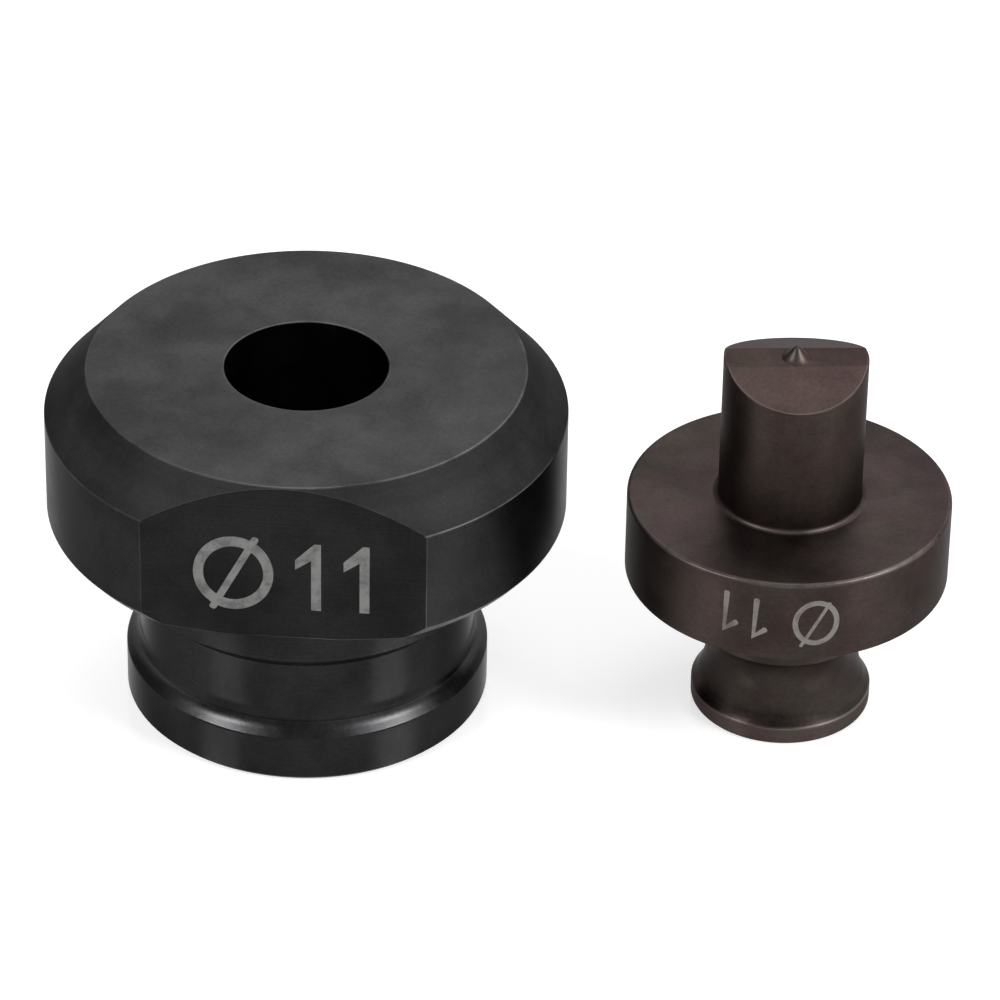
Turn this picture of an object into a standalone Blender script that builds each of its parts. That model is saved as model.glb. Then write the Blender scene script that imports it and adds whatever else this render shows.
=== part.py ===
"""Punch and die of a hydraulic hole punch, standing side by side on their bases.

The die is a turned steel ring with one flat on its flange and a grooved spigot below.
The punch stands nose up: a grooved shank, a flange and a round nose with a roof shaped end.
Metres, +Z up, the middle of the pair at the origin and both bases on z = 0.
"""
import math

import bpy

mm = 0.001

# The pair as it stands
gap_between_flanges = 4.6 * mm
punch_set_back = 1.2 * mm

# Hole that the pair cuts
hole_diameter = 11.0 * mm
bore_clearance = 1.5 * mm

# Die, heights measured up from its base
die_height = 28.7 * mm
die_seat_height = 15.4 * mm
die_spigot_diameter = 28.1 * mm
die_flange_overhang = 5.9 * mm
die_flat_depth = 3.05 * mm
die_top_chamfer_width = 3.2 * mm
die_top_chamfer_height = 3.6 * mm
die_edge_chamfer_width = 0.75 * mm
die_edge_chamfer_height = 0.9 * mm
die_underside_fall_width = 1.8 * mm
die_underside_fall = 0.55 * mm
die_lip_height = 3.9 * mm
die_groove_width = 7.2 * mm
die_groove_depth = 1.05 * mm
die_foot_chamfer = 0.38 * mm
die_mouth_break = 0.12 * mm
die_land_length = 10.0 * mm
die_relief_step = 1.5 * mm

# Punch, heights measured up from its base
punch_shank_diameter = 13.95 * mm
punch_lip_height = 1.5 * mm
punch_groove_width = 6.0 * mm
punch_groove_depth = 1.0 * mm
punch_foot_radius = 0.37 * mm
punch_seat_height = 11.9 * mm
punch_flange_overhang = 5.475 * mm
punch_flange_thickness = 6.85 * mm
punch_flange_chamfer = 0.42 * mm
punch_nose_fillet = 0.45 * mm
punch_nose_length = 12.3 * mm
nose_strip_width = 2.68 * mm
nose_roof_angle = math.radians(22)
nose_roof_turn = math.radians(6.3)
nib_height = 1.0 * mm
nib_margin = 0.15 * mm
nib_tip_diameter = 0.5 * mm

# How finely round shapes are divided
die_steps = 96
punch_steps = 72
groove_steps = 10
corner_steps = 3
sharp_angle = math.radians(28)
cut_overrun = 1.0 * mm

# Sizes that follow from those above
nose_radius = hole_diameter / 2
bore_radius = (hole_diameter + bore_clearance) / 2
relief_radius = bore_radius + die_relief_step
die_spigot_radius = die_spigot_diameter / 2
die_radius = die_spigot_radius + die_flange_overhang
die_flat_distance = die_radius - die_flat_depth
shank_radius = punch_shank_diameter / 2
punch_radius = shank_radius + punch_flange_overhang
punch_flange_top = punch_seat_height + punch_flange_thickness
nose_top = punch_flange_top + punch_nose_length
half_length = die_radius + gap_between_flanges / 2 + punch_radius
die_place = (die_radius - half_length, -die_flat_depth / 2, 0)
punch_place = (half_length - punch_radius, die_place[1] + punch_set_back, 0)


def arc(centre, radius, start, end, steps):
    """Points (radius, height) on a round stretch of a turned profile, angles in radians."""
    points = []
    for step in range(steps + 1):
        angle = start + (end - start) * step / steps
        points.append((centre[0] + radius * math.cos(angle), centre[1] + radius * math.sin(angle)))
    return points


def steel(name, colour, roughness):
    """Blackened tool steel."""
    material = bpy.data.materials.new(name)
    material.use_nodes = True
    shader = material.node_tree.nodes["Principled BSDF"]
    shader.inputs["Base Color"].default_value = colour
    shader.inputs["Roughness"].default_value = roughness
    shader.inputs["Metallic"].default_value = 1.0
    return material


def turned(name, profile, closed, steps, place, material):
    """A turned piece: its profile on +X, run round Z by a Screw modifier."""
    mesh = bpy.data.meshes.new(name)
    edges = [(index, index + 1) for index in range(len(profile) - 1)]
    if closed:
        edges.append((len(profile) - 1, 0))
    mesh.from_pydata([(radius, 0, height) for radius, height in profile], edges, [])
    piece = bpy.data.objects.new(name, mesh)
    pieces.objects.link(piece)
    piece.location = place
    screw = piece.modifiers.new("turn", 'SCREW')
    screw.steps = steps
    screw.render_steps = steps
    screw.use_merge_vertices = True
    screw.merge_threshold = 0.00001
    piece.data.materials.append(material)
    return piece


def cutting_block(name, size, corner, place, turn):
    """A box that starts at corner from its own origin; it is only used to cut."""
    bpy.ops.mesh.primitive_cube_add(size=1)
    block = bpy.context.active_object
    block.name = name
    for vertex in block.data.vertices:
        for axis in range(3):
            vertex.co[axis] = corner[axis] + (vertex.co[axis] + 0.5) * size[axis]
    block.location = place
    block.rotation_euler = turn
    block.hide_render = True
    block.display_type = 'WIRE'
    for collection in block.users_collection:
        collection.objects.unlink(block)
    cutters.objects.link(block)
    return block


def cut(piece, block):
    """Take the block away from the piece."""
    difference = piece.modifiers.new(block.name, 'BOOLEAN')
    difference.operation = 'DIFFERENCE'
    difference.solver = 'EXACT'
    difference.object = block


def shade(piece):
    """Smooth round faces with sharp turned edges, after the cuts."""
    bpy.context.view_layer.update()
    graph = bpy.context.evaluated_depsgraph_get()
    mesh = bpy.data.meshes.new_from_object(piece.evaluated_get(graph))
    mesh.shade_smooth()
    mesh.set_sharp_from_angle(angle=sharp_angle)
    piece.modifiers.clear()
    piece.data = mesh


def make_die():
    """The die: working face, chamfered flange, grooved spigot and stepped bore."""
    chamfer_foot = die_seat_height + die_underside_fall
    groove_top = die_lip_height + die_groove_width
    groove_radius = die_spigot_radius - die_groove_depth
    land_foot = die_height - die_land_length
    profile = [
        (bore_radius + die_mouth_break, die_height),
        (die_radius - die_top_chamfer_width, die_height),
        (die_radius, die_height - die_top_chamfer_height),
        (die_radius, chamfer_foot + die_edge_chamfer_height),
        (die_radius - die_edge_chamfer_width, chamfer_foot),
        (die_radius - die_edge_chamfer_width - die_underside_fall_width, die_seat_height),
        (die_spigot_radius, die_seat_height),
        (die_spigot_radius, groove_top),
        (groove_radius, groove_top - die_groove_depth),
        (groove_radius, die_lip_height + die_groove_depth),
        (die_spigot_radius, die_lip_height),
        (die_spigot_radius, die_foot_chamfer),
        (die_spigot_radius - die_foot_chamfer, 0),
        (relief_radius, 0),
        (relief_radius, land_foot - die_relief_step),
        (bore_radius, land_foot),
        (bore_radius, die_height - die_mouth_break),
    ]
    finish = steel("black_oxide", (0.055, 0.055, 0.056, 1), 0.38)
    die = turned("die", profile, True, die_steps, die_place, finish)

    # The flat stops the die from turning in its holder
    flat = cutting_block(
        "die_flat_cutter",
        (2 * die_radius + 2 * cut_overrun, die_flat_depth + cut_overrun, die_height + 2 * cut_overrun),
        (-die_radius - cut_overrun, -die_radius - cut_overrun, -cut_overrun),
        die_place,
        (0, 0, 0),
    )
    cut(die, flat)
    shade(die)
    return die


def make_punch():
    """The punch: round foot, grooved shank, flange and nose with a centring nib."""
    neck_half = punch_groove_width / 2
    neck_arc = (neck_half ** 2 + punch_groove_depth ** 2) / (2 * punch_groove_depth)
    neck_swing = math.asin(neck_half / neck_arc)
    neck_centre = (
        shank_radius - punch_groove_depth + neck_arc,
        punch_lip_height + neck_half,
    )
    foot_centre = (shank_radius - punch_foot_radius, punch_foot_radius)
    fillet_centre = (nose_radius + punch_nose_fillet, punch_flange_top + punch_nose_fillet)
    nib_radius = nose_strip_width / 2 - nib_margin

    profile = [
        (0, nose_top + nib_height),
        (nib_tip_diameter / 2, nose_top + nib_height - nib_tip_diameter / 4),
        (nib_radius, nose_top),
        (nose_radius, nose_top),
    ]
    profile += arc(fillet_centre, punch_nose_fillet, math.pi, 1.5 * math.pi, corner_steps)
    profile += [
        (punch_radius - punch_flange_chamfer, punch_flange_top),
        (punch_radius, punch_flange_top - punch_flange_chamfer),
        (punch_radius, punch_seat_height + punch_flange_chamfer),
        (punch_radius - punch_flange_chamfer, punch_seat_height),
        (shank_radius, punch_seat_height),
    ]
    profile += arc(neck_centre, neck_arc, math.pi - neck_swing, math.pi + neck_swing, groove_steps)
    profile += arc(foot_centre, punch_foot_radius, 0, -math.pi / 2, corner_steps)
    profile.append((0, 0))
    finish = steel("brown_black_oxide", (0.085, 0.068, 0.064, 1), 0.42)
    punch = turned("punch", profile, False, punch_steps, punch_place, finish)

    # Two slopes leave a flat strip across the nose, so that it starts the cut gently
    slope_length = nose_radius / math.cos(nose_roof_angle) + cut_overrun
    slope_height = nose_radius * math.tan(nose_roof_angle) + nib_height + cut_overrun
    for side, facing in (("back", nose_roof_turn), ("front", math.pi + nose_roof_turn)):
        across = -math.sin(facing) * nose_strip_width / 2
        away = math.cos(facing) * nose_strip_width / 2
        slope = cutting_block(
            "nose_" + side + "_cutter",
            (2 * nose_radius + 2 * cut_overrun, slope_length, slope_height),
            (-nose_radius - cut_overrun, 0, 0),
            (punch_place[0] + across, punch_place[1] + away, nose_top),
            (-nose_roof_angle, 0, facing),
        )
        cut(punch, slope)
    shade(punch)
    return punch


for old_object in list(bpy.data.objects):
    bpy.data.objects.remove(old_object)

pieces = bpy.data.collections.new("punch_and_die_set")
cutters = bpy.data.collections.new("cutters")
bpy.context.scene.collection.children.link(pieces)
bpy.context.scene.collection.children.link(cutters)
cutters.hide_render = True

make_die()
make_punch()
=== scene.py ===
"""Dressed model of a punch and die pair: blackened tool steel, standing on a pale floor.

The die lies left and the punch stands right, nose up, as the solids have them.
Metres, +Z up, in the frame that the solids share.
"""
import math

import bmesh
import bpy
from mathutils import Matrix, Vector


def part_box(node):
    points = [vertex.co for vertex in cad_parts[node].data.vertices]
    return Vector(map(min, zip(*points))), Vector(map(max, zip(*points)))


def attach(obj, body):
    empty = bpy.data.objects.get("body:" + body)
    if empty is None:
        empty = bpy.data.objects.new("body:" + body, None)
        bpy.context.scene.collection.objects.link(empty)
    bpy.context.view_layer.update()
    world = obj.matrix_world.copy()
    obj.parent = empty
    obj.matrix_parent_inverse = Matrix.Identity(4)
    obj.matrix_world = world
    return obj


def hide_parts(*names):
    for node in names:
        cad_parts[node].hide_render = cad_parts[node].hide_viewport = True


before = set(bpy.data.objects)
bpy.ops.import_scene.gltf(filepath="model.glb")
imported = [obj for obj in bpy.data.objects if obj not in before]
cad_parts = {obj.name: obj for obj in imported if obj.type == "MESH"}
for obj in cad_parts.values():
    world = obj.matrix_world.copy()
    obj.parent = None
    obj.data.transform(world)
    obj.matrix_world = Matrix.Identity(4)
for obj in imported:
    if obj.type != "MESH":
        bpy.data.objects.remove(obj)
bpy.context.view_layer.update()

# Camera: a long lens looks down on the pair from the front, a little from the right.
# It is turned a touch on its own axis, so that the bases lie as they do in a hand held picture.
mm = 0.001
camera_place = Vector((25.05, -376.74, 268.89)) * mm
camera_azimuth = math.radians(3.8)
camera_fall = math.radians(33.77)
camera_roll = math.radians(1.065)
camera_lens = 212.4
camera_film = 36.0
camera_near = 10 * mm
camera_far = 10.0


def added(name, data):
    """A new object in the scene."""
    piece = bpy.data.objects.new(name, data)
    bpy.context.scene.collection.objects.link(piece)
    return piece


camera_data = bpy.data.cameras.new("camera")
camera_data.lens = camera_lens
camera_data.sensor_width = camera_film
camera_data.clip_start = camera_near
camera_data.clip_end = camera_far
camera = added("camera", camera_data)
camera.matrix_world = (
    Matrix.Translation(camera_place)
    @ Matrix.Rotation(camera_azimuth, 4, 'Z')
    @ Matrix.Rotation(math.pi / 2 - camera_fall, 4, 'X')
    @ Matrix.Rotation(camera_roll, 4, 'Z')
)
bpy.context.scene.camera = camera
bpy.context.scene.view_settings.view_transform = 'Standard'

# Floor: one wide sheet of satin white board under both pieces.
# Seen by the camera or in the steel it is as white as paper, and it keeps the pair's soft shadow.
floor_half = 2.5
floor_colour = (0.62, 0.62, 0.62, 1)
floor_gloss = 0.12
floor_sheen_level = 1.0
floor_own_white = 0.50
floor_camera_white = 0.12


def shader_node(tree, kind, inputs=None, **settings):
    """A node with its settings, whose inputs are values or other nodes' outputs."""
    node = tree.nodes.new(kind)
    for key, value in settings.items():
        setattr(node, key, value)
    for key, value in (inputs or {}).items():
        if isinstance(value, bpy.types.NodeSocket):
            tree.links.new(value, node.inputs[key])
        else:
            node.inputs[key].default_value = value
    return node


def number(tree, operation, *values):
    """The output of a Math node."""
    inputs = dict(enumerate(values))
    return shader_node(tree, 'ShaderNodeMath', inputs, operation=operation).outputs[0]


floor_mesh = bpy.data.meshes.new("floor")
floor_sides = ((-1, -1), (1, -1), (1, 1), (-1, 1))
floor_corners = [(x * floor_half, y * floor_half, 0) for x, y in floor_sides]
floor_mesh.from_pydata(floor_corners, [], [(0, 1, 2, 3)])
floor = added("floor", floor_mesh)
board = bpy.data.materials.new("white_board")
board.use_nodes = True
tree = board.node_tree
tree.nodes.clear()
satin = shader_node(
    tree,
    'ShaderNodeBsdfPrincipled',
    {"Base Color": floor_colour, "Roughness": floor_gloss, "Specular IOR Level": floor_sheen_level},
)
path = shader_node(tree, 'ShaderNodeLightPath')
seen = number(tree, 'MAXIMUM', path.outputs["Is Camera Ray"], path.outputs["Is Glossy Ray"])
seen = number(tree, 'MAXIMUM', seen, path.outputs["Is Transmission Ray"])
glow = number(tree, 'MULTIPLY', path.outputs["Is Camera Ray"], floor_camera_white)
glow = number(tree, 'MULTIPLY_ADD', seen, floor_own_white, glow)
white = shader_node(tree, 'ShaderNodeEmission', {"Color": (1, 1, 1, 1), "Strength": glow})
both = shader_node(tree, 'ShaderNodeAddShader', {0: satin.outputs[0], 1: white.outputs[0]})
shader_node(tree, 'ShaderNodeOutputMaterial', {"Surface": both.outputs[0]})
floor_mesh.materials.append(board)

# Lamps: two small soft boxes left and right of the camera draw the highlights in the die's groove.
# A wide one behind and above lights the faces that look up, and a grey room fills the rest.
# Each has its swing from the camera and its height in degrees, distance, width, depth and watts.
lamp_aim = Vector((0, 0, 14 * mm))
lamps = (
    ("left_box", -56, 38, 0.62, 0.22, 0.11, 1.9),
    ("right_box", 60, 38, 0.62, 0.22, 0.11, 2.1),
    ("overhead_box", 158, 58, 0.75, 0.60, 0.50, 2.4),
)
for name, swing, height, distance, width, depth, watts in lamps:
    lamp_data = bpy.data.lights.new(name, 'AREA')
    lamp_data.shape = 'RECTANGLE'
    lamp_data.size = width
    lamp_data.size_y = depth
    lamp_data.energy = watts
    lamp = added(name, lamp_data)
    turn = camera_azimuth + math.radians(swing)
    rise = math.radians(height)
    level = Vector((math.sin(turn), -math.cos(turn), 0))
    away = level * math.cos(rise) + Vector((0, 0, math.sin(rise)))
    facing = away.to_track_quat('Z', 'Y').to_matrix().to_4x4()
    lamp.matrix_world = Matrix.Translation(lamp_aim + away * distance) @ facing

# The room's right side is the lighter one, and a white sweep glows all round just above the floor
room_strength = 0.35
room_lean = 0.23
sweep_glow = 0.70
sweep_foot = 0.04
sweep_head = 0.20
room = bpy.data.worlds.new("grey_room")
room.use_nodes = True
tree = room.node_tree
way = shader_node(tree, 'ShaderNodeTexCoord').outputs["Generated"]
way = shader_node(tree, 'ShaderNodeSeparateXYZ', {0: way}).outputs
sweep = shader_node(
    tree,
    'ShaderNodeMapRange',
    {
        "Value": way[2],
        "From Min": sweep_foot,
        "From Max": sweep_head,
        "To Min": sweep_glow,
        "To Max": 0.0,
    },
    interpolation_type='SMOOTHSTEP',
).outputs[0]
light = number(tree, 'ADD', number(tree, 'MULTIPLY_ADD', way[0], room_lean, room_strength), sweep)
tree.nodes["Background"].inputs["Color"].default_value = (1, 1, 1, 1)
tree.links.new(light, tree.nodes["Background"].inputs["Strength"])
bpy.context.scene.world = room

# Die: a ring of tool steel, turned all over, blackened in a hot salt bath.
# One flat is ground on its flange to key it in the tool, and the spigot below has a ring groove.
die_low, die_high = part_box("die")
die_radius = (die_high[0] - die_low[0]) / 2
die_axis = Vector((die_low[0] + die_radius, die_high[1] - die_radius, 0))
die_height = die_high[2]
mark_height = 0.01 * mm
mark_lift = 0.004 * mm
die_flat_distance = die_axis.y - die_low[1] - mark_height - mark_lift
die_bore_radius = 6.25 * mm
die_land_length = 10.0 * mm
die_relief_step = 1.5 * mm
die_seat_height = 15.4 * mm
die_spigot_radius = 14.05 * mm
die_chamfer_width = 3.2 * mm
die_chamfer_height = 3.6 * mm
die_edge_width = 0.75 * mm
die_edge_height = 0.9 * mm
die_fall_width = 1.8 * mm
die_fall = 0.55 * mm
die_lip_height = 3.9 * mm
die_groove_width = 7.2 * mm
die_groove_depth = 1.05 * mm
die_groove_ease = 0.95 * mm
die_foot_chamfer = 0.38 * mm
die_edge_ease = 0.09 * mm
die_fine_ease = 0.05 * mm
die_columns = 480
die_flat_swing = math.acos(die_flat_distance / die_radius)
die_even_radius = 16.0 * mm
die_flat_ease = 0.06 * mm
die_gather = 2.0
least_swing = math.radians(4)
die_chamfer_rings = 40
die_chamfer_lean = 1.6
die_underside_rings = 5
ease_steps = 6
long_ease = 0.3 * mm
long_ease_steps = 18
hold_gap = 0.05 * mm
weld_distance = 0.0004 * mm
sharp_angle = math.radians(20)


def eased(corners, closed):
    """A profile whose corners are rounded: each corner is (radius, height, ease)."""
    points = []
    count = len(corners)
    for index, (radius, height, ease) in enumerate(corners):
        end = not closed and index in (0, count - 1)
        if ease == 0 or end:
            points.append((radius, height))
            continue
        corner = Vector((radius, height))
        before = (Vector(corners[index - 1][:2]) - corner).normalized()
        after = (Vector(corners[(index + 1) % count][:2]) - corner).normalized()
        steps = long_ease_steps if ease > long_ease else ease_steps
        points.append(tuple(corner + before * (ease + hold_gap)))
        for step in range(steps + 1):
            share = step / steps
            point = corner + before * ease * (1 - share) ** 2
            points.append(tuple(point + after * ease * share ** 2))
        points.append(tuple(corner + after * (ease + hold_gap)))
    return points


def cone_rings(start, end, count, lean):
    """Corners with no ease on the straight stretch between two others."""
    rings = []
    for ring in range(1, count):
        share = (ring / count) ** lean
        place = Vector(start[:2]).lerp(Vector(end[:2]), share)
        clear = min((place - Vector(corner[:2])).length - corner[2] for corner in (start, end))
        if clear > 2 * hold_gap:
            rings.append((place.x, place.y, 0))
    return rings


def geometry_tree(name, inputs):
    """A geometry tree with one output, and the sockets of its named inputs."""
    tree = bpy.data.node_groups.new(name, 'GeometryNodeTree')
    for kind, sockets in inputs:
        for socket in sockets:
            tree.interface.new_socket(name=socket, in_out='INPUT', socket_type=kind)
    tree.interface.new_socket(name="Steel", in_out='OUTPUT', socket_type='NodeSocketGeometry')
    return tree, tree.nodes.new('NodeGroupInput').outputs


def turned_steel_tree():
    """Turns a profile (radius on X, height on Z) round the axis, with one ground flat facing -Y.

    The columns run along the flat's own edge, so that the edge is clean where it crosses a cone.
    """
    flat = ("Flat Distance", "Flat Ease", "Flat Swing", "Least Swing", "Even Radius", "Gather")
    tree, given = geometry_tree(
        "turned_steel",
        (
            ('NodeSocketGeometry', ("Profile",)),
            ('NodeSocketInt', ("Columns",)),
            ('NodeSocketFloat', flat),
            ('NodeSocketMaterial', ("Finish",)),
        ),
    )

    line = shader_node(tree, 'GeometryNodeMeshToCurve', {"Mesh": given["Profile"]})
    place = shader_node(tree, 'GeometryNodeInputPosition')
    line = shader_node(
        tree,
        'GeometryNodeStoreNamedAttribute',
        {"Geometry": line.outputs[0], "Name": "profile_point", "Value": place.outputs[0]},
        data_type='FLOAT_VECTOR',
    )
    ring = shader_node(
        tree, 'GeometryNodeCurvePrimitiveCircle', {"Resolution": given["Columns"], "Radius": 1.0}
    )
    order = shader_node(tree, 'GeometryNodeInputIndex')
    ring = shader_node(
        tree,
        'GeometryNodeStoreNamedAttribute',
        {"Geometry": ring.outputs[0], "Name": "column", "Value": order.outputs[0]},
        data_type='FLOAT',
    )
    swept = shader_node(
        tree,
        'GeometryNodeCurveToMesh',
        {"Curve": ring.outputs[0], "Profile Curve": line.outputs[0]},
    )

    # Where the flat's edge lies at each radius
    point = shader_node(
        tree, 'GeometryNodeInputNamedAttribute', {"Name": "profile_point"}, data_type='FLOAT_VECTOR'
    )
    point = shader_node(tree, 'ShaderNodeSeparateXYZ', {0: point.outputs[0]})
    radius, height = point.outputs[0], point.outputs[2]
    column = shader_node(
        tree, 'GeometryNodeInputNamedAttribute', {"Name": "column"}, data_type='FLOAT'
    ).outputs[0]
    even = number(tree, 'LESS_THAN', radius, given["Even Radius"])
    reach = number(tree, 'MAXIMUM', radius, weld_distance)
    reach = number(tree, 'DIVIDE', given["Flat Distance"], reach)
    edge = number(tree, 'ARCCOSINE', number(tree, 'MINIMUM', reach, 1.0))
    edge = number(tree, 'MAXIMUM', edge, given["Least Swing"])
    wider = number(tree, 'SUBTRACT', given["Flat Swing"], edge)
    edge = number(tree, 'MULTIPLY_ADD', even, wider, edge)

    # Columns gather at that edge from both sides
    whole = number(tree, 'DIVIDE', column, given["Columns"])
    side = number(tree, 'SUBTRACT', whole, 0.5)
    half = number(tree, 'MULTIPLY', number(tree, 'ABSOLUTE', side), 2.0)
    inner = number(tree, 'DIVIDE', given["Flat Swing"], math.pi)
    near = number(tree, 'MINIMUM', number(tree, 'DIVIDE', half, inner), 1.0)
    near = number(tree, 'POWER', number(tree, 'SUBTRACT', 1.0, near), given["Gather"])
    near = number(tree, 'MULTIPLY', number(tree, 'SUBTRACT', 1.0, near), edge)
    outer = number(tree, 'SUBTRACT', 1.0, inner)
    far = number(tree, 'DIVIDE', number(tree, 'SUBTRACT', half, inner), outer)
    far = number(tree, 'POWER', number(tree, 'MAXIMUM', far, 0.0), given["Gather"])
    far = number(tree, 'MULTIPLY', far, number(tree, 'SUBTRACT', math.pi, edge))
    swing = number(tree, 'ADD', near, far)
    swing = number(tree, 'MULTIPLY', swing, number(tree, 'SIGN', side))

    across = number(tree, 'MULTIPLY', radius, number(tree, 'SINE', swing))
    towards = number(tree, 'MULTIPLY', radius, number(tree, 'COSINE', swing))
    towards = number(tree, 'SMOOTH_MIN', towards, given["Flat Distance"], given["Flat Ease"])
    towards = number(tree, 'MULTIPLY', towards, -1.0)
    where = shader_node(tree, 'ShaderNodeCombineXYZ', {0: across, 1: towards, 2: height})
    shaped = shader_node(
        tree,
        'GeometryNodeSetPosition',
        {"Geometry": swept.outputs[0], "Position": where.outputs[0]},
    )
    bare = shaped
    for name in ("profile_point", "column"):
        bare = shader_node(
            tree, 'GeometryNodeRemoveAttribute', {"Geometry": bare.outputs[0], "Name": name}
        )
    whole = shader_node(tree, 'GeometryNodeRealizeInstances', {"Geometry": bare.outputs[0]})
    done = shader_node(
        tree, 'GeometryNodeSetMaterial', {"Geometry": whole.outputs[0], "Material": given["Finish"]}
    )
    shader_node(tree, 'NodeGroupOutput', {0: done.outputs[0]})
    return tree


def profile_object(name, profile, closed):
    """An object that holds a profile as a string of edges."""
    mesh = bpy.data.meshes.new(name)
    edges = [(index, index + 1) for index in range(len(profile) - 1)]
    if closed:
        edges.append((len(profile) - 1, 0))
    mesh.from_pydata([(radius, 0, height) for radius, height in profile], edges, [])
    return added(name, mesh)


def add_tree(piece, tree, values):
    """Puts a tree on a piece and sets its named inputs by their identifiers."""
    modifier = piece.modifiers.new(tree.name, 'NODES')
    modifier.node_group = tree
    for item in tree.interface.items_tree:
        if item.item_type == 'SOCKET' and item.in_out == 'INPUT' and item.name in values:
            modifier[item.identifier] = values[item.name]


def made_solid(piece, matrix):
    """Makes the piece one plain closed mesh at its place, with its modifiers gone."""
    bpy.context.view_layer.update()
    graph = bpy.context.evaluated_depsgraph_get()
    mesh = bpy.data.meshes.new_from_object(piece.evaluated_get(graph))
    piece.modifiers.clear()
    shell = bmesh.new()
    shell.from_mesh(mesh)
    bmesh.ops.remove_doubles(shell, verts=shell.verts, dist=weld_distance)
    bmesh.ops.dissolve_degenerate(shell, edges=shell.edges, dist=weld_distance / 100)
    bmesh.ops.recalc_face_normals(shell, faces=shell.faces)
    shell.to_mesh(mesh)
    shell.free()
    mesh.transform(matrix)
    mesh.shade_smooth()
    mesh.set_sharp_from_angle(angle=sharp_angle)
    piece.data = mesh


die_chamfer_foot = die_seat_height + die_fall
die_groove_top = die_lip_height + die_groove_width
die_groove_radius = die_spigot_radius - die_groove_depth
die_land_foot = die_height - die_land_length
die_flank_top = die_lip_height + die_groove_depth
die_relief_radius = die_bore_radius + die_relief_step
die_rim_radius = die_radius - die_chamfer_width
die_rim = (die_rim_radius, die_height, die_fine_ease)
die_shoulder = (die_radius, die_height - die_chamfer_height, die_edge_ease)
die_skirt = (die_radius, die_chamfer_foot + die_edge_height, die_edge_ease)
die_heel = (die_radius - die_edge_width, die_chamfer_foot, die_edge_ease)
die_seat = (die_heel[0] - die_fall_width, die_seat_height, die_edge_ease)
die_corners = [(die_bore_radius, die_height, die_edge_ease), die_rim]
die_corners += cone_rings(die_rim, die_shoulder, die_chamfer_rings, die_chamfer_lean)
die_corners += [die_shoulder, die_skirt]
die_corners += cone_rings(die_skirt, die_heel, die_underside_rings, 1)
die_corners.append(die_heel)
die_corners += cone_rings(die_heel, die_seat, die_underside_rings, 1)
die_corners += [
    die_seat,
    (die_spigot_radius, die_seat_height, 0),
    (die_spigot_radius, die_groove_top, die_edge_ease),
    (die_groove_radius, die_groove_top - die_groove_depth, die_edge_ease),
    (die_groove_radius, die_flank_top, die_groove_ease),
    (die_spigot_radius, die_lip_height, die_edge_ease),
    (die_spigot_radius, die_foot_chamfer, die_fine_ease),
    (die_spigot_radius - die_foot_chamfer, 0, die_fine_ease),
    (die_relief_radius, 0, die_fine_ease),
    (die_relief_radius, die_land_foot - die_relief_step, die_fine_ease),
    (die_bore_radius, die_land_foot, die_fine_ease),
]


noise_rough = 0.6
noise_range = (0.3, 0.7)
fine_range = (0.35, 0.65)
wear_and_highlight_range = (0.3, 0.6)
slope_facing = (0.25, 0.6)
top_facing = (0.8, 0.97)
under_facing = (-0.3, -0.6)
hidden_facing = -0.8
steel_edge_tint = (0.55, 0.55, 0.55, 1)
blotch_noise = (0.16, 6.0)
hue_noise = (0.25, 4.0)
grain_noise = (3.2, 4.0)
line_detail = 3.0
line_rough = 0.7
line_loss_on_top = 0.5
cloud_tone = (0.5, 0.72)
fleck_tone = (0.18, 0.9)
line_tone = (0.16, 0.92)
rough_swing = (0.08, -0.04)
# Pale edge lines are stronger on the right, where the light falls: a painted highlight
painted_highlight_side = (-12.0, 8.0)
painted_highlight_side_least = 0.4
line_relief = 0.6
grain_relief = 0.5
relief_strength = 0.35
relief_depth = 0.006 * mm


def plain_material(name):
    """A new material, its tree and its shader."""
    material = bpy.data.materials.new(name)
    material.use_nodes = True
    return material, material.node_tree, material.node_tree.nodes["Principled BSDF"]


def from_axis(tree, axis):
    """The Texture Coordinate node, and the place in millimetres from a piece's own axis."""
    place = shader_node(tree, 'ShaderNodeTexCoord')
    moved = {
        "Vector": place.outputs["Object"],
        "Location": tuple(-axis / mm),
        "Scale": (1 / mm, 1 / mm, 1 / mm),
    }
    return place, shader_node(tree, 'ShaderNodeMapping', moved).outputs[0]


def mixed(tree, share, first, second, mode='MIX'):
    """The output of a colour Mix node."""
    return shader_node(
        tree, 'ShaderNodeMix', {0: share, 6: first, 7: second}, data_type='RGBA', blend_type=mode
    ).outputs[2]


def ramped(tree, value, low, high):
    """A value run softly from 0 at low to 1 at high."""
    return shader_node(
        tree,
        'ShaderNodeMapRange',
        {"Value": value, "From Min": low, "From Max": high},
        interpolation_type='SMOOTHSTEP',
    ).outputs[0]


def noise(tree, vector, scale, detail):
    """A three way noise."""
    inputs = {"Vector": vector, "Scale": scale, "Detail": detail, "Roughness": noise_rough}
    return shader_node(tree, 'ShaderNodeTexNoise', inputs).outputs[0]


def blended(tree, share, first, second):
    """The output of a plain number Mix node."""
    inputs = {0: share, 2: first, 3: second}
    return shader_node(tree, 'ShaderNodeMix', inputs, data_type='FLOAT').outputs[0]


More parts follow.
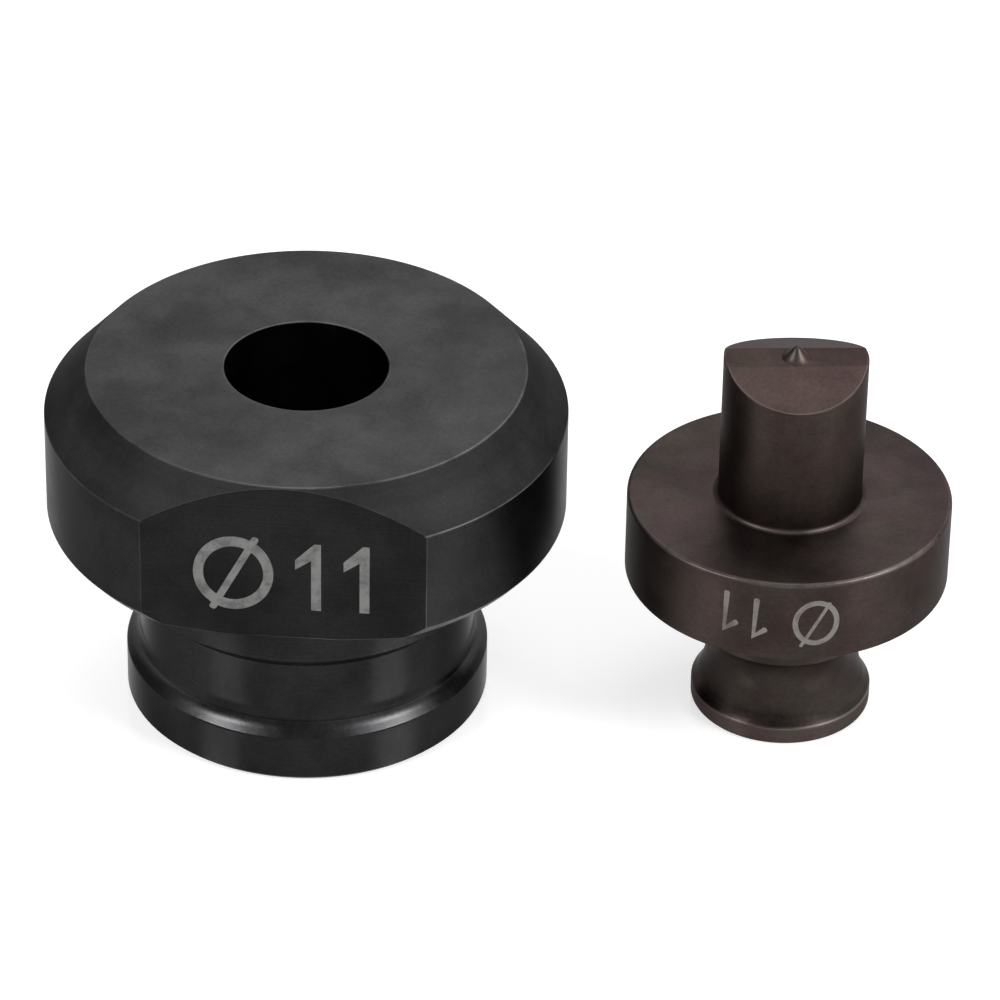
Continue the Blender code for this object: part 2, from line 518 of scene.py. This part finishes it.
def steel_finish_and_painted_light(name, axis, zones, tints, pitch, rims, bands=(), flat=None, ground=None):
    """Blackened steel with tool lines, blotches in two tints, and pale edges of wear and painted
    highlight.

    Zones give colour and roughness to walls, slopes, tops and undersides, and a colour to edges.
    The lighter tops, slopes and undersides are painted light, set by which way a face looks.
    A band is (radius, foot, top, zone) of walls that have their own.
    A rim is (radius, height, width) of an edge, where no height means that it rises and falls.
    Flat is (distance, under) of a flat facing -Y, and under lists (radius, height, rise) of the
    slopes below it. Ground is the turn of straight grinding lines, instead of the turning lines.
    """
    material, tree, shader = plain_material(name)
    shader.inputs["Metallic"].default_value = 1.0
    shader.inputs["Specular Tint"].default_value = steel_edge_tint
    place, centred = from_axis(tree, axis)
    spot = shader_node(tree, 'ShaderNodeSeparateXYZ', {0: centred}).outputs
    level = shader_node(tree, 'ShaderNodeCombineXYZ', {0: spot[0], 1: spot[1]}).outputs[0]
    radius = shader_node(tree, 'ShaderNodeVectorMath', {0: level}, operation='LENGTH')
    radius = radius.outputs["Value"]
    facing = shader_node(tree, 'ShaderNodeSeparateXYZ', {0: place.outputs["Normal"]}).outputs[2]
    sloping = ramped(tree, facing, *slope_facing)
    upward = ramped(tree, facing, *top_facing)
    downward = ramped(tree, facing, *under_facing)

    # How near the closest edge is, in widths of its pale line of wear and painted highlight
    nearest = 1.0
    for rim_radius, rim_height, rim_width in rims:
        out = number(tree, 'SUBTRACT', radius, rim_radius / mm)
        up = 0.0 if rim_height is None else number(tree, 'SUBTRACT', spot[2], rim_height / mm)
        gap = number(tree, 'MULTIPLY_ADD', out, out, number(tree, 'MULTIPLY', up, up))
        gap = number(tree, 'SQRT', gap)
        nearest = number(tree, 'MINIMUM', nearest, number(tree, 'DIVIDE', gap, rim_width / mm))
    turning = radius
    # The flat's outline gets the same pale line, a painted highlight along its edges as well as
    # wear
    if flat:
        beside = number(tree, 'ABSOLUTE', number(tree, 'ADD', spot[1], flat[0] / mm))
        on_it = number(tree, 'LESS_THAN', beside, flat_hair / mm)
        turning = number(tree, 'MULTIPLY', radius, number(tree, 'SUBTRACT', 1.0, on_it))
        beside = number(tree, 'MULTIPLY_ADD', beside, mm / flat_line, flat_line_fade)
        beside = number(tree, 'ADD', beside, on_it)
        nearest = number(tree, 'MINIMUM', nearest, beside)
        under = 0.0
        for from_radius, from_height, rise in flat[1]:
            slope = number(tree, 'SUBTRACT', radius, from_radius / mm)
            slope = number(tree, 'MULTIPLY_ADD', slope, rise, from_height / mm)
            under = number(tree, 'MAXIMUM', under, slope)
        above = number(tree, 'ABSOLUTE', number(tree, 'SUBTRACT', spot[2], under))
        hidden = number(tree, 'LESS_THAN', facing, hidden_facing)
        above = number(tree, 'MULTIPLY_ADD', above, mm / flat_line, hidden)
        above = number(tree, 'MULTIPLY_ADD', on_it, flat_line_fade, above)
        nearest = number(tree, 'MINIMUM', nearest, above)

    # Fine lines left by the tool: rings on a face, hoops on a wall
    if ground is None:
        along = number(tree, 'ADD', turning, spot[2])
    else:
        side = number(tree, 'MULTIPLY', spot[0], -math.sin(ground))
        along = number(tree, 'MULTIPLY_ADD', spot[1], math.cos(ground), side)
    lines = shader_node(
        tree,
        'ShaderNodeTexNoise',
        {"W": along, "Scale": 1 / pitch, "Detail": line_detail, "Roughness": line_rough},
        noise_dimensions='1D',
    ).outputs[0]
    strength = number(tree, 'MULTIPLY_ADD', upward, -line_loss_on_top, 1.0)
    lines = number(tree, 'MULTIPLY', lines, strength)
    blotches = noise(tree, centred, *blotch_noise)
    clouds = ramped(tree, blotches, *noise_range)
    grain = noise(tree, centred, *grain_noise)
    hues = ramped(tree, noise(tree, centred, *hue_noise), *fine_range)

    # Colour by facing: tops, slopes and undersides get lighter colours than walls, which is painted
    # light
    colour = mixed(tree, sloping, zones["wall"][0], zones["slope"][0])
    rough = blended(tree, sloping, zones["wall"][1], zones["slope"][1])
    for band_radius, foot, top, (band_colour, band_rough) in bands:
        inside = number(tree, 'LESS_THAN', radius, band_radius / mm)
        inside = number(tree, 'MULTIPLY', inside, number(tree, 'GREATER_THAN', spot[2], foot / mm))
        inside = number(tree, 'MULTIPLY', inside, number(tree, 'LESS_THAN', spot[2], top / mm))
        colour = mixed(tree, inside, colour, band_colour)
        rough = blended(tree, inside, rough, band_rough)
    colour = mixed(tree, upward, colour, zones["top"][0])
    rough = blended(tree, upward, rough, zones["top"][1])
    colour = mixed(tree, downward, colour, zones["under"][0])
    rough = blended(tree, downward, rough, zones["under"][1])
    if flat:
        colour = mixed(tree, on_it, colour, zones["flat"][0])
        rough = blended(tree, on_it, rough, zones["flat"][1])
    cloud = number(tree, 'MULTIPLY_ADD', clouds, *cloud_tone)
    fleck = number(tree, 'MULTIPLY_ADD', ramped(tree, grain, *fine_range), *fleck_tone)
    line = number(tree, 'MULTIPLY_ADD', ramped(tree, lines, *noise_range), *line_tone)
    tone = number(tree, 'MULTIPLY', number(tree, 'MULTIPLY', cloud, fleck), line)
    tone = shader_node(tree, 'ShaderNodeCombineColor', {0: tone, 1: tone, 2: tone}).outputs[0]
    colour = mixed(tree, 1.0, colour, tone, 'MULTIPLY')
    colour = mixed(tree, 1.0, colour, mixed(tree, hues, *tints), 'MULTIPLY')
    # Pale edge line: wear, and a painted highlight that is stronger on the right
    wear_and_highlight = number(tree, 'SUBTRACT', 1.0, ramped(tree, nearest, 0.0, 1.0))
    wear_and_highlight = number(tree, 'MULTIPLY', wear_and_highlight, ramped(tree, blotches, *wear_and_highlight_range))
    right = ramped(tree, spot[0], *painted_highlight_side)
    right = number(tree, 'MULTIPLY_ADD', right, 1.0 - painted_highlight_side_least, painted_highlight_side_least)
    colour = mixed(tree, number(tree, 'MULTIPLY', wear_and_highlight, right), colour, zones["wear_and_highlight"])
    tree.links.new(colour, shader.inputs["Base Color"])

    rough = number(tree, 'ADD', rough, number(tree, 'MULTIPLY_ADD', clouds, *rough_swing))
    rough = number(tree, 'ADD', rough, number(tree, 'MULTIPLY_ADD', grain, *rough_swing))
    tree.links.new(rough, shader.inputs["Roughness"])
    relief = number(tree, 'MULTIPLY', grain, grain_relief)
    relief = number(tree, 'MULTIPLY_ADD', lines, line_relief, relief)
    relief = {"Height": relief, "Strength": relief_strength, "Distance": relief_depth}
    bump = shader_node(tree, 'ShaderNodeBump', relief)
    tree.links.new(bump.outputs[0], shader.inputs["Normal"])
    return material


# Die colours by facing: the lighter top, slope and underside colours are painted light
die_zones = {
    "wall": ((0.021, 0.021, 0.0214, 1), 0.35),
    "slope": ((0.036, 0.036, 0.037, 1), 0.68),
    "top": ((0.079, 0.079, 0.080, 1), 0.50),
    "flat": ((0.0165, 0.0165, 0.017, 1), 0.40),
    "under": ((0.042, 0.042, 0.043, 1), 0.38),
    "wear_and_highlight": (0.16, 0.16, 0.16, 1),
}
die_tints = ((0.99, 1.0, 1.01, 1), (1.01, 1.0, 0.99, 1))
die_neck_zone = ((0.020, 0.020, 0.0205, 1), 0.23)
# The groove's lower flank is lighter than the neck, so its highlight comes out stronger: a painted
# highlight
die_flank_zone = ((0.040, 0.040, 0.041, 1), 0.29)
die_line_pitch = 0.16
# Widths of the die's pale edge lines, which are wear and painted highlight
die_rim_wear_and_highlight = 0.16 * mm
die_mouth_wear_and_highlight = 0.2 * mm
die_shoulder_wear_and_highlight = 0.12 * mm
flat_hair = 0.02 * mm
flat_line = 0.09 * mm
flat_line_fade = 0.25
die_under = (
    (die_seat[0], die_seat_height, 0.0),
    (die_seat[0], die_seat_height, die_fall / die_fall_width),
    (die_heel[0], die_chamfer_foot, die_edge_height / die_edge_width),
)
die_finish_and_painted_light = steel_finish_and_painted_light(
    "black_salt_finish_and_painted_light",
    die_axis,
    die_zones,
    die_tints,
    die_line_pitch,
    (
        (die_rim_radius, die_height, die_rim_wear_and_highlight),
        (die_bore_radius, die_height, die_mouth_wear_and_highlight),
        (die_radius, die_height - die_chamfer_height, die_shoulder_wear_and_highlight),
    ),
    (
        (die_spigot_radius + flat_hair, 0, die_seat_height, die_neck_zone),
        (die_spigot_radius - flat_hair, die_lip_height, die_flank_top, die_flank_zone),
    ),
    (die_flat_distance, die_under),
)
turned_steel = turned_steel_tree()
die = profile_object("die_steel", eased(die_corners, True), True)
add_tree(
    die,
    turned_steel,
    {
        "Columns": die_columns,
        "Flat Distance": die_flat_distance,
        "Flat Ease": die_flat_ease,
        "Flat Swing": die_flat_swing,
        "Least Swing": least_swing,
        "Even Radius": die_even_radius,
        "Gather": die_gather,
        "Finish": die_finish_and_painted_light,
    },
)
made_solid(die, Matrix.Translation(die_axis))
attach(die, "die")
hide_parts("die")

# Punch: the same steel with a browner finish, turned in one piece with its flange and shank.
# Two slopes are ground across the nose and leave a flat strip with a small centring nib.
punch_low, punch_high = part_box("punch")
punch_radius = (punch_high[0] - punch_low[0]) / 2
punch_axis = Vector((punch_low[0] + punch_radius, punch_low[1] + punch_radius, 0))
nib_height = 1.0 * mm
nose_top = punch_high[2] - nib_height
nose_radius = 5.5 * mm
nose_length = 12.3 * mm
nose_fillet = 0.45 * mm
nose_strip_width = 2.68 * mm
nose_roof_angle = math.radians(22)
nose_roof_turn = math.radians(6.3)
nib_radius = 1.19 * mm
nib_tip_radius = 0.25 * mm
nib_tip_fall = 0.125 * mm
nib_tip_ease = 0.1 * mm
nib_crown_radius = 0.125 * mm
nib_crown_fall = 0.03 * mm
nib_foot_radius = 0.952 * mm
nib_foot_height = 0.12 * mm
nib_foot_ease = 0.2 * mm
nib_seat = 0.05 * mm
punch_flange_thickness = 6.85 * mm
punch_flange_ease = 0.3 * mm
punch_rim_inset = 0.1 * mm
shank_radius = 6.975 * mm
punch_lip_height = 1.5 * mm
punch_groove_width = 6.0 * mm
punch_groove_depth = 1.0 * mm
punch_foot_radius = 0.37 * mm
punch_fine_ease = 0.05 * mm
punch_columns = 256
nib_columns = 64
punch_groove_steps = 24
punch_fillet_steps = 8
punch_end_columns = 64
punch_line_pitch = 0.12
# Widths of the punch's pale edge lines, which are wear and painted highlight
punch_rim_wear_and_highlight = 0.3 * mm
punch_fillet_wear_and_highlight = 0.35 * mm
punch_lip_wear_and_highlight = 0.2 * mm
punch_dip_share = 0.35
punch_dip_height = punch_lip_height + punch_dip_share * punch_groove_width / 2
nose_line_pitch = 0.1
nose_edge_wear_and_highlight = 0.22 * mm


def arc(centre, radius, start, end, steps):
    """Points on a round stretch of a profile, angles in radians, with nothing left to ease."""
    return [
        (
            centre[0] + radius * math.cos(start + (end - start) * step / steps),
            centre[1] + radius * math.sin(start + (end - start) * step / steps),
            0,
        )
        for step in range(steps + 1)
    ]


def ground_nose_tree():
    """Closes the nose's open end with a disc and lowers both sides of a strip across it."""
    tree, given = geometry_tree(
        "ground_nose",
        (
            ('NodeSocketGeometry', ("Wall",)),
            ('NodeSocketInt', ("Columns", "End Columns")),
            ('NodeSocketFloat', ("End Radius", "Top", "Foot", "Strip Half", "Fall")),
            ('NodeSocketMaterial', ("Ground Finish",)),
        ),
    )

    # Rows of the disc run along the strip and end on the wall's columns
    rows = number(tree, 'MULTIPLY_ADD', given["Columns"], 0.5, 1.0)
    disc = shader_node(
        tree,
        'GeometryNodeMeshGrid',
        {"Size X": 2.0, "Size Y": 2.0, "Vertices X": given["End Columns"], "Vertices Y": rows},
    )
    place = shader_node(tree, 'GeometryNodeInputPosition').outputs[0]
    grid = shader_node(tree, 'ShaderNodeSeparateXYZ', {0: place}).outputs
    swing = number(tree, 'MULTIPLY', grid[1], math.pi / 2)
    chord = number(tree, 'MULTIPLY', number(tree, 'COSINE', swing), given["End Radius"])
    across = number(tree, 'MULTIPLY', grid[0], chord)
    away = number(tree, 'MULTIPLY', number(tree, 'SINE', swing), given["End Radius"])
    where = shader_node(tree, 'ShaderNodeCombineXYZ', {0: across, 1: away, 2: given["Top"]})
    disc = shader_node(
        tree, 'GeometryNodeSetPosition', {"Geometry": disc.outputs[0], "Position": where.outputs[0]}
    )
    disc = shader_node(
        tree,
        'GeometryNodeSetMaterial',
        {"Geometry": disc.outputs[0], "Material": given["Ground Finish"]},
    )
    joined = tree.nodes.new('GeometryNodeJoinGeometry')
    tree.links.new(disc.outputs[0], joined.inputs[0])
    tree.links.new(given["Wall"], joined.inputs[0])

    spot = shader_node(tree, 'ShaderNodeSeparateXYZ', {0: place}).outputs
    past = number(tree, 'SUBTRACT', number(tree, 'ABSOLUTE', spot[1]), given["Strip Half"])
    drop = number(tree, 'MULTIPLY', number(tree, 'MAXIMUM', past, 0.0), given["Fall"])
    whole = number(tree, 'SUBTRACT', given["Top"], given["Foot"])
    rise = number(tree, 'DIVIDE', number(tree, 'SUBTRACT', spot[2], given["Foot"]), whole)
    rise = number(tree, 'MAXIMUM', number(tree, 'MINIMUM', rise, 1.0), 0.0)
    drop = number(tree, 'MULTIPLY', number(tree, 'MULTIPLY', drop, rise), -1.0)
    down = shader_node(tree, 'ShaderNodeCombineXYZ', {2: drop})
    ground = shader_node(
        tree, 'GeometryNodeSetPosition', {"Geometry": joined.outputs[0], "Offset": down.outputs[0]}
    )
    whole = shader_node(tree, 'GeometryNodeRealizeInstances', {"Geometry": ground.outputs[0]})
    shader_node(tree, 'NodeGroupOutput', {0: whole.outputs[0]})
    return tree


punch_flange_top = nose_top - nose_length
punch_seat_height = punch_flange_top - punch_flange_thickness
neck_half = punch_groove_width / 2
neck_arc = (neck_half ** 2 + punch_groove_depth ** 2) / (2 * punch_groove_depth)
neck_swing = math.asin(neck_half / neck_arc)
neck_centre = (shank_radius - punch_groove_depth + neck_arc, punch_lip_height + neck_half)
nose_end_radius = nose_radius - punch_fine_ease - hold_gap
nose_edge = [(0, nose_top, 0), (nose_radius, nose_top, punch_fine_ease), (nose_radius, 0, 0)]
punch_corners = [(radius, height, 0) for radius, height in eased(nose_edge, False)[1:-1]]
fillet_centre = (nose_radius + nose_fillet, punch_flange_top + nose_fillet)
punch_corners += arc(fillet_centre, nose_fillet, math.pi, 1.5 * math.pi, punch_fillet_steps)
punch_corners += [
    (punch_radius, punch_flange_top, punch_flange_ease),
    (punch_radius, punch_seat_height, punch_flange_ease),
    (shank_radius, punch_seat_height, 0),
]
neck_ends = (math.pi - neck_swing, math.pi + neck_swing)
punch_corners += arc(neck_centre, neck_arc, *neck_ends, punch_groove_steps)
foot_centre = (shank_radius - punch_foot_radius, punch_foot_radius)
punch_corners += arc(foot_centre, punch_foot_radius, 0, -math.pi / 2, punch_fillet_steps)
punch_corners.append((0, 0, 0))
# Punch colours by facing: the lighter top, slope and underside colours are painted light, and the
# foot band under the lip is lighter still
punch_zones = {
    "wall": ((0.044, 0.0335, 0.0314, 1), 0.43),
    "slope": ((0.078, 0.062, 0.058, 1), 0.42),
    "top": ((0.071, 0.0565, 0.0555, 1), 0.44),
    "under": ((0.056, 0.042, 0.0395, 1), 0.38),
    "wear_and_highlight": (0.17, 0.147, 0.139, 1),
}
punch_tints = ((1.06, 0.97, 0.97, 1), (0.98, 1.03, 0.94, 1))
punch_nose_zone = ((0.045, 0.034, 0.0316, 1), 0.47)
punch_shank_zone = ((0.040, 0.032, 0.030, 1), 0.42)
punch_dip_zone = ((0.042, 0.0335, 0.0315, 1), 0.33)
punch_lip_zone = ((0.072, 0.056, 0.053, 1), 0.52)
punch_finish_and_painted_light = steel_finish_and_painted_light(
    "brown_salt_finish_and_painted_light",
    punch_axis,
    punch_zones,
    punch_tints,
    punch_line_pitch,
    (
        (punch_radius - punch_rim_inset, punch_flange_top - punch_rim_inset, punch_rim_wear_and_highlight),
        (nose_radius, punch_flange_top, punch_fillet_wear_and_highlight),
        (shank_radius, punch_lip_height, punch_lip_wear_and_highlight),
    ),
    (
        (shank_radius, punch_flange_top, nose_top, punch_nose_zone),
        (shank_radius + flat_hair, 0, punch_seat_height, punch_shank_zone),
        (shank_radius, 0, punch_dip_height, punch_dip_zone),
        (shank_radius + flat_hair, 0, punch_lip_height, punch_lip_zone),
    ),
)
nose_end_zone = ((0.070, 0.050, 0.0485, 1), 0.42)
nose_zones = dict.fromkeys(("wall", "slope", "top", "under"), nose_end_zone)
# The ground nose's edge line is pale: wear and painted highlight
nose_zones["wear_and_highlight"] = (0.26, 0.225, 0.213, 1)
nib_zone = ((0.044, 0.033, 0.031, 1), 0.60)
nose_finish_and_painted_highlight = steel_finish_and_painted_light(
    "brown_ground_finish_and_painted_highlight",
    punch_axis,
    nose_zones,
    punch_tints,
    nose_line_pitch,
    ((nose_radius, None, nose_edge_wear_and_highlight),),
    ((nib_radius, nose_top - nib_seat, nose_top + nib_height, nib_zone),),
    ground=nose_roof_turn,
)
column_swing = 2 * math.pi / punch_columns
strip_rows = round(math.asin(nose_strip_width / 2 / nose_end_radius) / column_swing)
strip_half = nose_end_radius * math.sin(strip_rows * column_swing)
no_flat = {
    "Flat Distance": 2 * punch_radius,
    "Flat Ease": punch_fine_ease,
    "Flat Swing": die_flat_swing,
    "Least Swing": least_swing,
    "Even Radius": 2 * punch_radius,
    "Gather": 1.0,
}
punch = profile_object("punch_steel", eased(punch_corners, False), False)
add_tree(
    punch,
    turned_steel,
    {
        "Columns": punch_columns,
        **no_flat,
        "Finish": punch_finish_and_painted_light,
    },
)
add_tree(
    punch,
    ground_nose_tree(),
    {
        "Columns": punch_columns,
        "End Columns": punch_end_columns,
        "End Radius": nose_end_radius,
        "Top": nose_top,
        "Foot": punch_flange_top + nose_fillet,
        "Strip Half": strip_half,
        "Fall": math.tan(nose_roof_angle),
        "Ground Finish": nose_finish_and_painted_highlight,
    },
)
punch_matrix = Matrix.Translation(punch_axis) @ Matrix.Rotation(nose_roof_turn, 4, 'Z')
made_solid(punch, punch_matrix)

# Nib, turned on the same piece: it finds the centre pop on the work
nib_corners = [
    (0, nose_top + nib_height, 0),
    (nib_crown_radius, nose_top + nib_height - nib_crown_fall, 0),
    (nib_tip_radius, nose_top + nib_height - nib_tip_fall, nib_tip_ease),
    (nib_foot_radius, nose_top + nib_foot_height, nib_foot_ease),
    (nib_radius, nose_top - nib_seat, 0),
    (0, nose_top - nib_seat, 0),
]
nib = profile_object("nib", eased(nib_corners, False), False)
add_tree(
    nib,
    turned_steel,
    {
        "Columns": nib_columns,
        **no_flat,
        "Finish": nose_finish_and_painted_highlight,
    },
)
made_solid(nib, punch_matrix)
together = bmesh.new()
together.from_mesh(punch.data)
together.from_mesh(nib.data)
together.to_mesh(punch.data)
together.free()
bpy.data.objects.remove(nib)
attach(punch, "punch")
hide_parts("punch")

# Size mark on the die's flat: a diameter sign and the hole's size, burnt pale by a laser.
# The strokes are skins a hundredth of a millimetre proud of the ground flat.
ring_middle = (-3.73 * mm, 20.95 * mm)
ring_half = (2.62 * mm, 2.81 * mm)
ring_stroke = (0.76 * mm, 0.88 * mm)
ring_steps = 96
slash_ends = ((-5.29 * mm, 17.82 * mm), (-2.06 * mm, 24.06 * mm))
slash_stroke = 0.56 * mm
digit_places = (2.08 * mm, 5.69 * mm)
digit_foot = 17.95 * mm
digit_height = 5.93 * mm
digit_stroke = 0.74 * mm
digit_shoulder = 0.24 * mm
digit_flag_reach = 1.19 * mm
digit_flag_fall = 1.48 * mm
digit_flag_stroke = 0.86 * mm
mark_sink = 0.03 * mm
die_mark_colour = (0.20, 0.20, 0.195, 1)
die_mark_gone = 0.42
mitre_limit = 0.75
tip_share = 0.28
tip_width_share = 0.5
ribbon_steps = 8
mark_patch_noise = (0.9, 5.0)
mark_patch_share = 0.6
mark_speck_noise = (5.0, 3.0)
mark_speck_share = 0.5
mark_rough = (0.2, 0.5)
mark_soft = 0.35
mark_bare_share = 0.45
mark_gloss = 0.25


def ring_quads(middle, half, stroke, steps):
    """An oval ring as four sided patches, each a list of (across, height)."""
    quads = []
    for step in range(steps):
        quad = []
        for turn, side in ((step, -1), (step + 1, -1), (step + 1, 1), (step, 1)):
            angle = 2 * math.pi * turn / steps
            quad.append(
                (
                    middle[0] + (half[0] + side * stroke[0] / 2) * math.cos(angle),
                    middle[1] + (half[1] + side * stroke[1] / 2) * math.sin(angle),
                )
            )
        quads.append(quad)
    return quads


def ribbon_quads(route, stroke, steps):
    """A stroke of even width along a bent route, mitred at its bends, as four sided patches."""
    points = [Vector(point) for point in route]
    edges = []
    for index, point in enumerate(points):
        before = (point - points[index - 1]).normalized() if index else None
        after = (points[index + 1] - point).normalized() if index < len(points) - 1 else None
        first, last = before or after, after or before
        along = (first + last).normalized()
        normal = Vector((-along.y, along.x))
        reach = stroke / 2 / max(mitre_limit, normal.dot(Vector((-last.y, last.x))))
        edges.append((point - normal * reach, point + normal * reach))
    for end, inner in ((0, 1), (-1, -2)):
        out = (points[end] - points[inner]).normalized() * stroke * tip_share
        left, right = edges[end]
        middle = (left + right) / 2
        tip = (middle.lerp(left, tip_width_share) + out, middle.lerp(right, tip_width_share) + out)
        edges.insert(0 if end == 0 else len(edges), tip)
    quads = []
    for (left, right), (next_left, next_right) in zip(edges, edges[1:]):
        for step in range(steps):
            low, high = step / steps, (step + 1) / steps
            quads.append(
                [
                    tuple(left.lerp(next_left, low)),
                    tuple(left.lerp(next_left, high)),
                    tuple(right.lerp(next_right, high)),
                    tuple(right.lerp(next_right, low)),
                ]
            )
    return quads


def mark_skin(name, groups, wrapped, finish):
    """Thin closed skins: each group is (patches, lift), and wrapped sets a point on the steel."""
    shell = bmesh.new()
    for patches, lift in groups:
        top, foot = {}, {}
        edges = {}

        def vertex(store, point, height):
            key = (round(point[0] / weld_distance), round(point[1] / weld_distance))
            if key not in store:
                store[key] = shell.verts.new(wrapped(point[0], point[1], height))
            return store[key]

        for patch in patches:
            upper = [vertex(top, point, mark_height + lift) for point in patch]
            lower = [vertex(foot, point, -mark_sink) for point in patch]
            shell.faces.new(upper)
            shell.faces.new(lower[::-1])
            for index, start in enumerate(upper):
                end = upper[(index + 1) % len(upper)]
                key = frozenset((start, end))
                wall = (start, end, lower[(index + 1) % len(upper)], lower[index])
                edges[key] = None if key in edges else wall
        for wall in edges.values():
            if wall:
                shell.faces.new((wall[1], wall[0], wall[3], wall[2]))
    bmesh.ops.recalc_face_normals(shell, faces=shell.faces)
    mesh = bpy.data.meshes.new(name)
    shell.to_mesh(mesh)
    shell.free()
    mesh.materials.append(finish)
    return added(name, mesh)


def on_flat(across, height, out):
    """A point on the die's flat."""
    return (die_axis.x + across, die_axis.y - die_flat_distance - out, height)


def etched_finish(name, axis, colour, gone):
    """Laser mark: pale and matt, patchy where the beam has burnt less."""
    material, tree, shader = plain_material(name)
    shader.inputs["Specular IOR Level"].default_value = mark_gloss
    centred = from_axis(tree, axis)[1]
    patches = noise(tree, centred, *mark_patch_noise)
    specks = noise(tree, centred, *mark_speck_noise)
    faint = number(tree, 'MULTIPLY', specks, mark_speck_share)
    burnt = ramped(tree, patches, *noise_range)
    burnt = number(tree, 'MULTIPLY_ADD', burnt, mark_patch_share, faint)
    burnt = ramped(tree, burnt, gone - mark_soft, gone + mark_soft)
    bare = tuple(channel * mark_bare_share for channel in colour[:3]) + (1,)
    tree.links.new(mixed(tree, burnt, bare, colour), shader.inputs["Base Color"])
    tree.links.new(number(tree, 'MULTIPLY_ADD', specks, *mark_rough), shader.inputs["Roughness"])
    return material


digit_outline = [
    (0, 0),
    (digit_stroke, 0),
    (digit_stroke, digit_height),
    (digit_shoulder, digit_height),
    (-digit_flag_reach, digit_height - digit_flag_fall),
    (-digit_flag_reach, digit_height - digit_flag_fall - digit_flag_stroke),
    (0, digit_height - digit_flag_fall),
]
digit_patches = [
    [(place + across, digit_foot + height) for across, height in digit_outline]
    for place in digit_places
]
die_mark = mark_skin(
    "die_size_mark",
    (
        (ring_quads(ring_middle, ring_half, ring_stroke, ring_steps), 0),
        (ribbon_quads(slash_ends, slash_stroke, ribbon_steps), mark_lift),
        (digit_patches, 0),
    ),
    on_flat,
    etched_finish("die_laser_mark", die_axis, die_mark_colour, die_mark_gone),
)
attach(die_mark, "die")

# Size mark on the punch's flange: the same sign and number, upside down as the punch stands.
# It is written with a narrow beam, so its strokes are thinner and lean a little.
punch_ring_middle = (2.60 * mm, 15.27 * mm)
punch_ring_half = (1.58 * mm, 1.80 * mm)
punch_ring_stroke = (0.41 * mm, 0.44 * mm)
punch_slash_ends = ((1.50 * mm, 13.20 * mm), (3.58 * mm, 16.98 * mm))
punch_slash_stroke = 0.27 * mm
punch_digit_stroke = 0.46 * mm
punch_mark_colour = (0.22, 0.20, 0.18, 1)
punch_mark_gone = 0.36
punch_digit_routes = (
    ((-3.48 * mm, 14.82 * mm), (-4.42 * mm, 14.03 * mm), (-4.30 * mm, 17.34 * mm)),
    ((-1.23 * mm, 14.56 * mm), (-2.11 * mm, 13.85 * mm), (-1.95 * mm, 17.17 * mm)),
)


def on_flange(across, height, out):
    """A point on the punch's flange, by its length of arc from the front."""
    swing = across / punch_radius
    reach = punch_radius + out
    return (punch_axis.x + reach * math.sin(swing), punch_axis.y - reach * math.cos(swing), height)


punch_groups = [
    (ring_quads(punch_ring_middle, punch_ring_half, punch_ring_stroke, ring_steps), 0),
    (ribbon_quads(punch_slash_ends, punch_slash_stroke, ribbon_steps), mark_lift),
]
for route in punch_digit_routes:
    punch_groups.append((ribbon_quads(route, punch_digit_stroke, ribbon_steps), 0))
punch_mark = mark_skin(
    "punch_size_mark",
    punch_groups,
    on_flange,
    etched_finish("punch_laser_mark", punch_axis, punch_mark_colour, punch_mark_gone),
)
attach(punch_mark, "punch")
